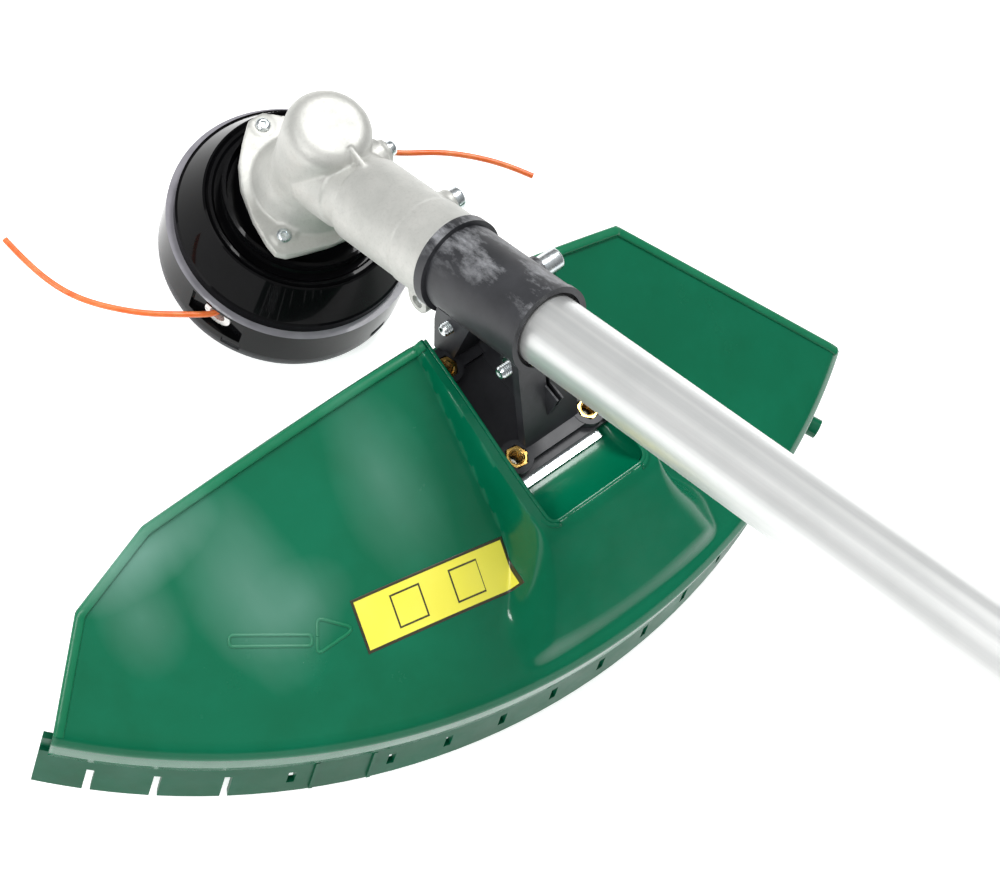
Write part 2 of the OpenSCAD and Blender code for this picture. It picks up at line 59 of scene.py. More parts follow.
# ------------------------------------------------------------------ camera
cam = bpy.data.cameras.new("camera")
cam.sensor_width = 36.0
cam.lens = 86.96
cam.clip_end = 20.0
cam_ob = bpy.data.objects.new("camera", cam)
SC.collection.objects.link(cam_ob)
right, up, back = Vector((0.75204, -0.61120, 0.24672)), Vector((0.50926, 0.77644, 0.37120)), Vector((-0.41844, -0.15351, 0.89518))
m = Matrix.Identity(4)
for i in range(3):
    m[i][0], m[i][1], m[i][2] = right[i], up[i], back[i]
m.translation = Vector((-0.37260, -0.25721, 0.85404))
cam_ob.matrix_world = m
SC.camera = cam_ob


# ------------------------------------------------------------------ materials
class MB:
    def __init__(s, name):
        s.m = bpy.data.materials.new(name)
        s.m.use_nodes = True
        s.nt = s.m.node_tree
        s.n, s.l = s.nt.nodes, s.nt.links
        s.b = s.n["Principled BSDF"]
        s.tc = s.n.new("ShaderNodeTexCoord")
        s.normal = None

    def vec(s, scale=(1, 1, 1), rot=(0, 0, 0), loc=(0, 0, 0)):
        mp = s.n.new("ShaderNodeMapping")
        mp.inputs["Scale"].default_value = scale
        mp.inputs["Rotation"].default_value = rot
        mp.inputs["Location"].default_value = loc
        s.l.new(s.tc.outputs["Object"], mp.inputs["Vector"])
        return mp.outputs[0]

    def noise(s, scale, detail=4.0, rough=0.55, vec=None, dist=0.0):
        t = s.n.new("ShaderNodeTexNoise")
        t.inputs["Scale"].default_value = scale
        t.inputs["Detail"].default_value = detail
        t.inputs["Roughness"].default_value = rough
        t.inputs["Distortion"].default_value = dist
        s.l.new(vec if vec is not None else s.tc.outputs["Object"], t.inputs["Vector"])
        return t.outputs["Fac"]

    def voronoi(s, scale, vec=None):
        t = s.n.new("ShaderNodeTexVoronoi")
        t.inputs["Scale"].default_value = scale
        s.l.new(vec if vec is not None else s.tc.outputs["Object"], t.inputs["Vector"])
        return t.outputs["Distance"]

    def ramp(s, fac, stops):
        r = s.n.new("ShaderNodeValToRGB")
        e = r.color_ramp.elements
        while len(e) < len(stops):
            e.new(0.5)
        for k, (p, c) in enumerate(stops):
            e[k].position = p
            e[k].color = (c, c, c, 1) if isinstance(c, (int, float)) else (*c, 1)
        s.l.new(fac, r.inputs["Fac"])
        return r.outputs["Color"]

    def mix(s, fac, a, b, mode="MIX"):
        x = s.n.new("ShaderNodeMix")
        x.data_type = "RGBA"
        x.blend_type = mode
        for sock, v in ((x.inputs[0], fac), (x.inputs[6], a), (x.inputs[7], b)):
            if isinstance(v, (int, float)):
                sock.default_value = v
            elif isinstance(v, (tuple, list)):
                sock.default_value = (*v, 1)
            else:
                s.l.new(v, sock)
        return x.outputs[2]

    def math(s, op, a, b=0.0, clamp=False):
        x = s.n.new("ShaderNodeMath")
        x.operation = op
        x.use_clamp = clamp
        for sock, v in ((x.inputs[0], a), (x.inputs[1], b)):
            if isinstance(v, (int, float)):
                sock.default_value = v
            else:
                s.l.new(v, sock)
        return x.outputs[0]

    def bump(s, h, strength, dist):
        x = s.n.new("ShaderNodeBump")
        x.inputs["Strength"].default_value = strength
        x.inputs["Distance"].default_value = dist
        s.l.new(h, x.inputs["Height"])
        if s.normal is not None:
            s.l.new(s.normal, x.inputs["Normal"])
        s.normal = x.outputs[0]

    def sepz(s, vec=None):
        x = s.n.new("ShaderNodeSeparateXYZ")
        s.l.new(vec if vec is not None else s.tc.outputs["Object"], x.inputs[0])
        return x.outputs

    def done(s, color=None, rough=None, metal=0.0, ior=None, coat=0.0, coat_rough=0.05, spec=None, trans=0.0, sss=0.0, aniso=0.0):
        B = s.b.inputs
        for sock, v in ((B["Base Color"], color), (B["Roughness"], rough)):
            if v is None:
                continue
            if isinstance(v, (int, float)):
                sock.default_value = v
            elif isinstance(v, (tuple, list)):
                sock.default_value = (*v, 1)
            else:
                s.l.new(v, sock)
        B["Metallic"].default_value = metal
        if ior is not None:
            B["IOR"].default_value = ior
        B["Coat Weight"].default_value = coat
        B["Coat Roughness"].default_value = coat_rough
        if spec is not None:
            B["Specular IOR Level"].default_value = spec
        B["Transmission Weight"].default_value = trans
        B["Subsurface Weight"].default_value = sss
        if sss:
            B["Subsurface Scale"].default_value = 0.002
        B["Anisotropic"].default_value = aniso
        if s.normal is not None:
            s.l.new(s.normal, B["Normal"])
        return s.m


def lin(r, g, b):
    f = lambda c: (c / 255 / 12.92) if c / 255 <= 0.04045 else ((c / 255 + 0.055) / 1.055) ** 2.4
    return (f(r), f(g), f(b))


def green(name, a, b, c, rough, haze, coat=0.07, spec=0.24):
    q = MB(name)
    n1 = q.noise(14, 3, 0.5, dist=0.6)
    n2 = q.noise(55, 4, 0.6)
    col = q.mix(q.ramp(n1, [(0.36, 0.0), (0.66, 1.0)]), a, b)
    col = q.mix(q.math("MULTIPLY", q.ramp(n2, [(0.45, 0.0), (0.75, 1.0)]), 0.35), col, c)
    # painted reflection: pale soft patches on the left panel stand in for the soft reflection of the lights in the
    # gloss
    reflection_patch_wobble = q.noise(1.0, 4, 0.55, vec=q.vec(scale=(24, 9, 9), rot=(0, 0, 0.5)))
    for cx, cy, rx, ry, amt in ((-0.118, -0.117, 0.022, 0.036, 0.36), (-0.108, -0.131, 0.022, 0.015, 0.26), (-0.142, -0.088, 0.028, 0.012, 0.58), (-0.060, -0.112, 0.020, 0.036, 0.26),
                                (-0.153, -0.104, 0.014, 0.022, 0.24)):
        ln = q.n.new("ShaderNodeVectorMath")
        ln.operation = "LENGTH"
        q.l.new(q.vec(scale=(1 / rx, 1 / ry, 0), loc=(-cx / rx, -cy / ry, 0)), ln.inputs[0])
        d_ = q.math("ADD", ln.outputs["Value"], q.math("MULTIPLY", q.math("SUBTRACT", reflection_patch_wobble, 0.5), 0.9))
        col = q.mix(q.math("MULTIPLY", q.ramp(d_, [(0.0, 1.0), (1.0, 0.0)]), amt), col, lin(136, 176, 164))
    # dust specks
    d = q.ramp(q.voronoi(170), [(0.0, 1.0), (0.035, 0.0)])
    keep = q.ramp(q.noise(21, 2), [(0.56, 0.0), (0.62, 1.0)])
    speck = q.math("MULTIPLY", d, keep)
    col = q.mix(q.math("MULTIPLY", speck, 0.5), col, lin(150, 185, 170))
    r = q.math("ADD", q.math("MULTIPLY", q.ramp(q.noise(32, 5, 0.65), [(0.35, 0.0), (0.7, 1.0)]), haze), rough)
    r = q.math("ADD", r, q.math("MULTIPLY", speck, 0.3))
    # fine rubbing marks along the panels, moulding texture and slight waviness
    v = q.vec(scale=(9, 320, 60), rot=(0, 0, 0.6))
    q.bump(q.noise(1.0, 3, 0.6, vec=v), 0.03, 0.00008)
    q.bump(q.noise(900, 2, 0.5), 0.04, 0.00003)
    q.bump(q.noise(26, 2, 0.4), 0.16, 0.0008)
    return q.done(col, r, ior=1.5, spec=spec, coat=coat, coat_rough=0.06)


M = {}
M["green"] = green("green_plastic_moulded", lin(0, 101, 68), lin(0, 109, 76), lin(8, 118, 86), 0.15, 0.14)
M["green_bead"] = green("green_plastic_bead", lin(10, 112, 74), lin(18, 120, 82), lin(40, 136, 100), 0.26, 0.14, coat=0.0, spec=0.3)
M["green_flap"] = green("green_flap_moulded", lin(0, 82, 54), lin(0, 94, 64), lin(22, 106, 82), 0.30, 0.16, coat=0.0, spec=0.12)


def cast(name):
    q = MB(name)
    n = q.noise(70, 5, 0.6)
    col = q.mix(q.ramp(n, [(0.35, 0.0), (0.65, 1.0)]), lin(188, 189, 184), lin(203, 203, 198))
    fine = q.noise(900, 3, 0.7)
    col = q.mix(q.math("MULTIPLY", q.ramp(fine, [(0.5, 0.0), (0.75, 1.0)]), 0.22), col, lin(150, 150, 145))
    pits = q.ramp(q.voronoi(420), [(0.0, 1.0), (0.09, 0.0)])
    pk = q.ramp(q.noise(90, 2), [(0.55, 0.0), (0.65, 1.0)])
    col = q.mix(q.math("MULTIPLY", q.math("MULTIPLY", pits, pk), 0.35), col, lin(104, 104, 100))
    r = q.math("ADD", q.math("MULTIPLY", q.noise(160, 4), 0.22), 0.4)
    q.bump(q.noise(1100, 3, 0.65), 0.35, 0.00016)
    q.bump(q.noise(240, 3, 0.6), 0.25, 0.0004)
    return q.done(col, r, metal=0.45, spec=0.5)


M["cast"] = cast("cast_aluminium_blasted")


def tube_mat(name):
    q = MB(name)
    v = q.vec(scale=(420, 420, 2.2), rot=(math.radians(-61.5), 0, 0))
    mp = v.node
    mp.vector_type = "TEXTURE"
    mp.inputs["Scale"].default_value = (1 / 420, 1 / 420, 1 / 2.2)
    mp.inputs["Rotation"].default_value = (math.radians(61.5), 0, 0)
    streak = q.noise(1.0, 5, 0.65, vec=v)
    col = q.mix(q.ramp(streak, [(0.3, 0.0), (0.7, 1.0)]), lin(222, 224, 223), lin(236, 237, 235))
    col = q.mix(q.math("MULTIPLY", q.ramp(q.noise(45, 3), [(0.5, 0.0), (0.8, 1.0)]), 0.25), col, lin(196, 200, 198))
    r = q.math("ADD", q.math("MULTIPLY", streak, 0.10), 0.34)
    q.bump(streak, 0.10, 0.00004)
    return q.done(col, r, metal=0.7)


M["tube"] = tube_mat("tube_aluminium_drawn")


def metal(name, a, b, rough, scale=300, metal=1.0, tint=None, ring=0.0):
    q = MB(name)
    n = q.noise(scale, 4, 0.6)
    col = q.mix(q.ramp(n, [(0.35, 0.0), (0.7, 1.0)]), a, b)
    if tint:
        col = q.mix(q.math("MULTIPLY", q.ramp(q.noise(160, 2), [(0.5, 0.0), (0.75, 1.0)]), 0.5), col, tint)
    r = q.math("ADD", q.math("MULTIPLY", q.noise(scale * 2, 3), 0.2), rough)
    q.bump(q.noise(scale * 3, 3, 0.6), 0.08, 0.00005)
    return q.done(col, r, metal=metal)


M["zinc"] = metal("zinc_plate", lin(200, 208, 212), lin(232, 236, 236), 0.16, 260, tint=lin(190, 205, 200))
M["steel"] = metal("steel_ground", lin(180, 182, 184), lin(206, 208, 208), 0.18)
M["gear"] = metal("steel_dark_oiled", lin(92, 92, 94), lin(120, 120, 120), 0.25)
M["spring"] = metal("spring_wire", lin(150, 152, 154), lin(180, 182, 184), 0.22)
M["brass"] = metal("brass_bright", lin(204, 160, 84), lin(232, 196, 118), 0.16, 420, tint=lin(176, 128, 60))


def black_gloss(name, a, b, rough, spec=0.55, paint_pale_reflections=False):
    q = MB(name)
    col = q.mix(q.ramp(q.noise(40, 4), [(0.35, 0.0), (0.7, 1.0)]), a, b)
    if paint_pale_reflections:
        # painted reflection: the up-facing ledge under the cone is painted pale for the reflected top light, and the
        # bottom lip is painted pale for the reflected bright floor
        g = q.n.new("ShaderNodeNewGeometry")
        sp = q.n.new("ShaderNodeSeparateXYZ")
        q.l.new(g.outputs["Normal"], sp.inputs[0])
        upw = q.ramp(sp.outputs[2], [(0.90, 0.0), (0.97, 1.0)])
        z = q.sepz()[2]
        band = q.math("MULTIPLY", q.math("GREATER_THAN", z, 0.0338), q.math("LESS_THAN", z, 0.0356))
        lip_reflection = q.ramp(z, [(0.0100, 1.0), (0.0150, 0.0)])
        mottle = q.ramp(q.noise(90, 4), [(0.3, 0.72), (0.7, 1.0)])
        col = q.mix(q.math("MULTIPLY", q.math("MULTIPLY", upw, band), mottle), col, lin(158, 156, 163))
        col = q.mix(q.math("MULTIPLY", q.math("MULTIPLY", lip_reflection, mottle), 0.8), col, lin(128, 128, 132))
    dust = q.ramp(q.voronoi(260), [(0.0, 1.0), (0.03, 0.0)])
    dk = q.ramp(q.noise(30, 2), [(0.55, 0.0), (0.62, 1.0)])
    col = q.mix(q.math("MULTIPLY", q.math("MULTIPLY", dust, dk), 0.25), col, lin(120, 120, 124))
    r = q.math("ADD", q.math("MULTIPLY", q.noise(60, 4), 0.1), rough)
    q.bump(q.noise(60, 2, 0.5), 0.10, 0.0004)
    return q.done(col, r, ior=1.5, spec=spec, coat=0.09, coat_rough=0.02)


# the housing black gets painted pale reflections on its ledge and its bottom lip
M["black"] = black_gloss("black_plastic_gloss", lin(8, 8, 9), lin(15, 15, 17), 0.04, spec=0.035, paint_pale_reflections=True)
M["knob"] = black_gloss("knob_plastic_satin", lin(16, 16, 18), lin(28, 28, 30), 0.3, spec=0.3)


def charcoal(name):
    q = MB(name)
    v = q.vec(scale=(1, 1, 1))
    n = q.noise(36, 5, 0.65)
    col = q.mix(q.ramp(n, [(0.35, 0.0), (0.7, 1.0)]), lin(38, 39, 42), lin(56, 57, 61))
    # painted highlight: pale patches on the up-facing side of the sleeve stand in for the broad highlight of the lights
    g = q.n.new("ShaderNodeNewGeometry")
    sp = q.n.new("ShaderNodeSeparateXYZ")
    q.l.new(g.outputs["Normal"], sp.inputs[0])
    up_facing = q.ramp(sp.outputs[2], [(0.45, 0.0), (0.9, 1.0)])
    sleeve_highlight_noise = q.ramp(q.noise(42, 6, 0.72, vec=q.vec(scale=(1.7, 0.6, 1))), [(0.50, 0.0), (0.70, 1.0)])
    col = q.mix(q.math("MULTIPLY", q.math("MULTIPLY", q.math("MULTIPLY", up_facing, q.ramp(q.sepz()[2], [(0.106, 0.0), (0.114, 1.0)])), sleeve_highlight_noise), 0.78), col, lin(188, 190, 194))
    r = q.math("ADD", q.math("MULTIPLY", q.noise(90, 4), 0.18), 0.36)
    q.bump(q.noise(700, 3, 0.6), 0.10, 0.00008)
    q.bump(q.noise(60, 3, 0.6), 0.10, 0.0003)
    return q.done(col, r, ior=1.48)


M["charcoal"] = charcoal("charcoal_plastic_satin")


def matte(name, a, b, rough=0.6, scale=120):
    q = MB(name)
    col = q.mix(q.ramp(q.noise(scale, 4), [(0.35, 0.0), (0.7, 1.0)]), a, b)
    r = q.math("ADD", q.math("MULTIPLY", q.noise(scale * 2, 3), 0.15), rough)
    q.bump(q.noise(scale * 6, 3, 0.6), 0.15, 0.0001)
    return q.done(col, r)


M["rubber"] = matte("rubber_black", lin(18, 18, 18), lin(32, 32, 32), 0.7)
M["bush"] = matte("bush_plastic", lin(34, 34, 36), lin(48, 48, 50), 0.5)
M["spool"] = matte("spool_plastic_matte", lin(40, 40, 44), lin(56, 56, 60), 0.45)
M["ring_olive"] = matte("ring_olive_grey", lin(70, 72, 64), lin(92, 94, 84), 0.5, 260)


def line_mat(name):
    q = MB(name)
    n = q.noise(160, 3)
    col = q.mix(q.ramp(n, [(0.35, 0.0), (0.7, 1.0)]), lin(243, 112, 44), lin(250, 142, 80))
    q.bump(q.noise(700, 2), 0.06, 0.00006)
    return q.done(col, 0.3, ior=1.5, sss=0.25)


M["line"] = line_mat("nylon_line_orange")
M["eyelet"] = metal("eyelet_bright", lin(226, 224, 222), lin(244, 240, 236), 0.2, metal=0.55)


def flat_print(name, a, b, rough):
    q = MB(name)
    col = q.mix(q.ramp(q.noise(50, 4), [(0.3, 0.0), (0.75, 1.0)]), a, b)
    q.bump(q.noise(500, 3), 0.05, 0.00004)
    return q.done(col, q.math("ADD", q.math("MULTIPLY", q.noise(90, 4), 0.12), rough), coat=0.2, coat_rough=0.1)


M["yellow"] = flat_print("label_film_yellow", lin(250, 241, 76), lin(254, 246, 92), 0.28)
M["ink"] = flat_print("label_ink_dark", lin(44, 42, 24), lin(60, 58, 34), 0.3)


def use(node, mat, bevel=0.25, seg=2, angle=35):
    o = NODE[node]
    if not o.material_slots:
        o.data.materials.append(M[mat])
    for s in o.material_slots:
        s.link = "OBJECT"
        s.material = M[mat]
    if bevel:
        b = o.modifiers.new("edges", "BEVEL")
        b.width = bevel * 0.001
        b.segments = seg
        b.limit_method = "ANGLE"
        b.angle_limit = math.radians(angle)
        b.use_clamp_overlap = True
        b.harden_normals = False
    return o


for n_, m_, b_ in [
    ("shaft_tube", "tube", 0.2), ("shaft_bushes", "bush", 0.3), ("flange_screws", "zinc", 0.25), ("grease_plug", "zinc", 0.3),
    ("locating_bolt", "zinc", 0.3), ("neck_clamp_bolt", "zinc", 0.3), ("bearing_outer_races", "steel", 0.3), ("spindle_seal", "rubber", 0.2),
    ("bearing_circlips", "gear", 0.15), ("guard_bracket", "charcoal", 0.45), ("sleeve_liner", "rubber", 0.2), ("pinch_bolts", "zinc", 0.3),
    ("pinch_nuts", "zinc", 0.3), ("brass_inserts", "brass", 0.4), ("guard_screws", "zinc", 0.3), ("clamp_plate", "zinc", 0.3),
    ("guard_shell", "green", 0.5), ("guard_skirt", "green_flap", 0.25), ("skirt_peg", "green", 0.5), ("line_cutter", "steel", 0.2),
    ("cutter_screws", "zinc", 0.3), ("side_label", "yellow", 0), ("drive_pinion", "gear", 0.12), ("pinion_inner_races", "steel", 0.3),
    ("pinion_bearing_balls", "steel", 0), ("drive_shaft", "steel", 0.3), ("output_spindle", "steel", 0.3), ("driven_gear", "gear", 0.12),
    ("spindle_inner_races", "steel", 0.3), ("spindle_bearing_balls", "steel", 0), ("dust_cup", "black", 0.5), ("head_housing", "black", 0.45),
    ("head_cover", "black", 0.5), ("arbor_nut", "zinc", 0.3), ("line_eyelets", "eyelet", 0.3), ("line_end_left", "line", 0), ("line_end_right", "line", 0),
    ("knob_spring", "spring", 0), ("bump_knob", "knob", 0.5), ("line_spool", "spool", 0.3), ("line_winding", "line", 0),
    ("gearbox_housing", "cast", 0.5)]:
    use(n_, m_, b_)


# ------------------------------------------------------------------ mesh helpers
def link(name, me, mat, body=None, smooth=None):
    ob = bpy.data.objects.new(name, me)
    SC.collection.objects.link(ob)
    if mat is not None:
        if not isinstance(mat, (list, tuple)):
            me.materials.clear()
            me.polygons.foreach_set("material_index", [0] * len(me.polygons))
        for x in ([mat] if not isinstance(mat, (list, tuple)) else mat):
            me.materials.append(M[x])
    if smooth is not None:
        shade(me, smooth)
    if body:
        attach(ob, body)
    return ob


def shade(me, deg):
    """Smooth shading, with edges sharper than deg kept sharp."""
    bm = bmesh.new()
    bm.from_mesh(me)
    lim = math.radians(deg)
    for f in bm.faces:
        f.smooth = True
    for e in bm.edges:
        e.smooth = not (len(e.link_faces) == 2 and e.calc_face_angle(0.0) > lim)
    bm.to_mesh(me)
    bm.free()
    me.update()


def mesh_of(name, verts, faces, fix=True):
    me = bpy.data.meshes.new(name)
    me.from_pydata([tuple(v) for v in verts], [], faces)
    me.update()
    if fix:
        bm = bmesh.new()
        bm.from_mesh(me)
        bmesh.ops.remove_doubles(bm, verts=bm.verts, dist=1e-7)
        bmesh.ops.recalc_face_normals(bm, faces=bm.faces)
        bm.to_mesh(me)
        bm.free()
    return me


def join_meshes(name, parts):
    """One mesh from several (verts, faces) or (verts, faces, material index) lists."""
    V, F, K = [], [], []
    for p in parts:
        v, f = p[0], p[1]
        k = p[2] if len(p) > 2 else 0
        o = len(V)
        V += list(v)
        F += [[i + o for i in q] for q in f]
        K += [k] * len(f)
    me = bpy.data.meshes.new(name)
    me.from_pydata([tuple(v) for v in V], [], F)
    me.update()
    for p, k in zip(me.polygons, K):
        p.material_index = k
    bm = bmesh.new()
    bm.from_mesh(me)
    bmesh.ops.remove_doubles(bm, verts=bm.verts, dist=1e-7)
    bmesh.ops.recalc_face_normals(bm, faces=bm.faces)
    bm.to_mesh(me)
    bm.free()
    return me


def lathe(profile, place, n=96):
    """Closed lathe body: profile is (r, h) pairs from the axis out and back, place(x, y, h) puts a point in the frame."""
    V, F, rows = [], [], []
    for r, h in profile:
        if r < 1e-6:
            rows.append([len(V)])
            V.append(place(0, 0, h))
        else:
            rows.append(list(range(len(V), len(V) + n)))
            V += [place(r * math.cos(2 * math.pi * k / n), r * math.sin(2 * math.pi * k / n), h) for k in range(n)]
    m_ = len(rows)
    closed = not (len(rows[0]) == 1 and len(rows[-1]) == 1)
    for a in range(m_ if closed else m_ - 1):
        A, B = rows[a], rows[(a + 1) % m_]
        for k in range(n):
            k2 = (k + 1) % n
            if len(A) == 1 and len(B) == 1:
                break
            if len(A) == 1:
                F.append([A[0], B[k2], B[k]])
            elif len(B) == 1:
                F.append([A[k], A[k2], B[0]])
            else:
                F.append([A[k], A[k2], B[k2], B[k]])
    return V, F


def prism(poly, z0, z1, place):
    n = len(poly)
    V = [place(x, y, z0) for x, y in poly] + [place(x, y, z1) for x, y in poly]
    F = [list(range(n))[::-1], list(range(n, 2 * n))] + [[k, (k + 1) % n, n + (k + 1) % n, n + k] for k in range(n)]
    return V, F


def sweep(path, section, closed_ends=True, up=None):
    """A closed section of (a, b) pairs carried along path. a runs sideways and b along the local up."""
    n, V, F = len(section), [], []
    for i, p in enumerate(path):
        t = (path[min(i + 1, len(path) - 1)] - path[max(i - 1, 0)]).normalized()
        u = up(i) if callable(up) else (up or Vector((0, 0, 1)))
        side = t.cross(u).normalized()
        uu = side.cross(t).normalized()
        V += [p + side * a + uu * b for a, b in section]
    for i in range(len(path) - 1):
        for k in range(n):
            k2 = (k + 1) % n
            F.append([i * n + k, (i + 1) * n + k, (i + 1) * n + k2, i * n + k2])
    if closed_ends:
        F += [list(range(n)), [(len(path) - 1) * n + k for k in range(n)][::-1]]
    return V, F


def catmull(pts, per=6):
    P = [Vector(p) for p in pts]
    P = [2 * P[0] - P[1]] + P + [2 * P[-1] - P[-2]]
    out = []
    for i in range(1, len(P) - 2):
        for k in range(per):
            t = k / per
            a, b, c, d = P[i - 1], P[i], P[i + 1], P[i + 2]
            out.append(0.5 * ((2 * b) + (c - a) * t + (2 * a - 5 * b + 4 * c - d) * t * t + (3 * b - a - 3 * c + d) * t ** 3))
    out.append(P[-2])
    return out


# ------------------------------------------------------------------ free ends of the cutting line
LEFT = [(-42, -12.3, 17), (-44.6, -13, 17), (-47, -12.4, 17), (-50.5, -10.4, 17.2), (-56, -7, 17.4), (-62, -3.2, 17.8), (-67.5, 0, 18), (-73, 5, 18), (-78, 9.8, 18),
        (-82.5, 14.8, 18), (-86, 19.6, 18), (-89, 25, 18), (-91.2, 31, 18), (-92.7, 37, 18), (-93.7, 43, 18), (-94.5, 49, 18), (-95, 54, 18)]
RIGHT = [(42, 12.3, 17), (44.6, 13, 17), (47, 12.4, 17), (50, 10.6, 17.2), (53.4, 7.6, 17.4), (56.8, 4.8, 17.6), (61.6, 1.6, 17.8), (66.8, -1, 18), (72.2, -4.2, 18), (77.5, -8.2, 18),
         (82.8, -13, 18), (87.7, -17.8, 18), (91.6, -22.6, 18), (95.2, -27.6, 18), (98.4, -32.8, 18)]
for nm, pts in (("left", LEFT), ("right", RIGHT)):
    pp = catmull([W(*p) for p in pts], 5)
    for _ in range(40):
        pp = pp[:2] + [0.5 * pp[i] + 0.25 * (pp[i - 1] + pp[i + 1]) for i in range(2, len(pp) - 1)] + pp[-1:]
    cu = bpy.data.curves.new("cutting_line_" + nm, "CURVE")
    cu.dimensions = "3D"
    sp = cu.splines.new("POLY")
    sp.points.add(len(pp) - 1)
    for q_, v_ in zip(sp.points, pp):
        q_.co = (*v_, 1)
    sp.use_smooth = True
    cu.bevel_depth = 0.00118
    cu.bevel_resolution = 5
    cu.use_fill_caps = True
    cu.materials.append(M["line"])
    ob = bpy.data.objects.new("cutting_line_" + nm, cu)
    SC.collection.objects.link(ob)
    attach(ob, "head")
    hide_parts("line_end_" + nm)

# ------------------------------------------------------------------ guard shell
OUTL = [(-137.5, -80.6), (-24.5, -84), (24.5, -79), (70.5, -85.3), (141, -165), (170, -198), (170, -300), (-260, -300), (-260, -183), (-200.5, -121.5), (-170, -90)]
TOPP = [(80, 100), (84, 100), (110, 96.2), (137, 91.2), (150, 89.6), (158, 89.0), (163, 87.6), (199.5, 49.4), (230, 18)]


def smax(a, b, k):
    h = max(k - abs(a - b), 0.0) / k
    return max(a, b) + h * h * k * 0.25


def smin(a, b, k):
    return -smax(-a, -b, k)


def lerp_list(L, x):
    if x <= L[0][0]:
        return L[0][1]
    for (a, fa), (b, fb) in zip(L, L[1:]):
        if x <= b:
            return fa + (fb - fa) * (x - a) / (b - a)
    return L[-1][1]


def stepf(t):
    t = min(max(t, 0.0), 1.0)
    return t * t * (3 - 2 * t)


def topz(d):
    return sum(lerp_list(TOPP, d + o) for o in (-3, -1.5, 0, 1.5, 3)) / 5


def height(x, y):
    """Upper side of the guard at (x, y), mm above the head's rim."""
    r = math.hypot(x, y - 67)
    cone = 48 + 0.437 * (268 - r)
    s = stepf((-y - 150) / 34)
    xe = 33 + 14 * s                                   # the sides splay towards the rim
    side = 52 + (xe - abs(x)) / (6.6 + 21 * s) * 49
    sad = smin(topz(-y), side, 2.2 + 13 * s)
    k = (2.4 + 12 * s) * (1 - 0.9 * stepf((r - 244) / 22))
    return cone + (smax(cone, sad, k) - cone) * (1 - stepf((r - 262) / 5))


def seg_near(p, a, b):
    ax, ay = a
    bx, by = b
    dx, dy = bx - ax, by - ay
    L = dx * dx + dy * dy
    t = 0 if L == 0 else min(max(((p[0] - ax) * dx + (p[1] - ay) * dy) / L, 0), 1)
    q = (ax + dx * t, ay + dy * t)
    return math.hypot(p[0] - q[0], p[1] - q[1]), q


def nearest(p, poly, closed=True):
    best = (1e9, None)
    n = len(poly)
    for i in range(n if closed else n - 1):
        c = seg_near(p, poly[i], poly[(i + 1) % n])
        if c[0] < best[0]:
            best = c
    return best


def inside(p, poly):
    x, y = p
    c = False
    n = len(poly)
    for i in range(n):
        x1, y1 = poly[i]
        x2, y2 = poly[(i + 1) % n]
        if (y1 > y) != (y2 > y) and x < (x2 - x1) * (y - y1) / (y2 - y1) + x1:
            c = not c
    return c


REC_R = 5.0
REC = [(-23.5, -60)] + [(-23.5 + REC_R - REC_R * math.cos(a), -162 + REC_R - REC_R * math.sin(a)) for a in [math.pi / 2 * k / 8 for k in range(9)]] \
    + [(23.5 - REC_R + REC_R * math.sin(a), -162 + REC_R - REC_R * math.cos(a)) for a in [math.pi / 2 * k / 8 for k in range(9)]] + [(23.5, -60)]

rows = [139 + 1.0 * k for k in range(128)] + [266.6, 267.2]
RIM = [(268.2, 47.75), (269.1, 47.2), (269.7, 46.7), (270.4, 45.75), (271.2, 44.6), (271.7, 43.9), (271.95, 43.2), (272, 42.4), (272, 38), (272, 34), (272, 30.2)]
xs = [-45 + 1.25 * k for k in range(4)] + [-40 + 0.5 * k for k in range(37)] + [-21.5 + 1.0 * k for k in range(44)] + [22 + 0.5 * k for k in range(37)] + [41.25 + 1.25 * k for k in range(4)]
NL, NR = 84, 50
PL, PR = math.radians(47.7), math.radians(31.7)
V, F = [], []


def row_xy(r):
    a0 = math.asin(45 / r)
    out = []
    for k in range(NL):
        a = PL + (a0 - PL) * k / NL
        out.append((-r * math.sin(a), 67 - r * math.cos(a)))
    for x in xs:
        out.append((x, 67 - math.sqrt(r * r - x * x)))
    for k in range(1, NR + 1):
        a = a0 + (PR - a0) * k / NR
        out.append((r * math.sin(a), 67 - r * math.cos(a)))
    return out


ncol = NL + len(xs) + NR
XY = []
for r in rows:
    for x, y in row_xy(r):
        V.append(W(x, y, height(x, y)))
        XY.append((x, y))
for r, z in RIM:
    for x, y in row_xy(r):
        V.append(W(x, y, z))
        XY.append((x, y))
nrow = len(rows) + len(RIM)
keep = []
for i in range(nrow - 1):
    for k in range(ncol - 1):
        q = [i * ncol + k, i * ncol + k + 1, (i + 1) * ncol + k + 1, (i + 1) * ncol + k]
        c = (sum(XY[j][0] for j in q) / 4, sum(XY[j][1] for j in q) / 4)
        if not inside(c, OUTL):
            continue
        if abs(c[0]) < 23.5 and c[1] > -162 and (c[1] > -162 + REC_R or inside(c, REC)):
            continue
        F.append(q)
edge_use = {}
for f in F:
    for j in range(4):
        e = tuple(sorted((f[j], f[(j + 1) % 4])))
        edge_use[e] = edge_use.get(e, 0) + 1
bnd = {v for e, n in edge_use.items() if n == 1 for v in e}
for v in bnd:
    i = v // ncol
    p = XY[v]
    if i >= len(rows) + len(RIM) - 1 and nearest(p, OUTL)[0] > 3:
        continue
    cand = [nearest(p, OUTL), nearest(p, REC, False)]
    d, qn = min(cand)
    if d > 2.5:
        continue
    if i < len(rows):
        V[v] = W(qn[0], qn[1], height(*qn))
    else:
        V[v] = W(qn[0], qn[1], V[v].z * 1000 - KD)
used = sorted({v for f in F for v in f})
ren = {v: i for i, v in enumerate(used)}
me = bpy.data.meshes.new("guard_skin")
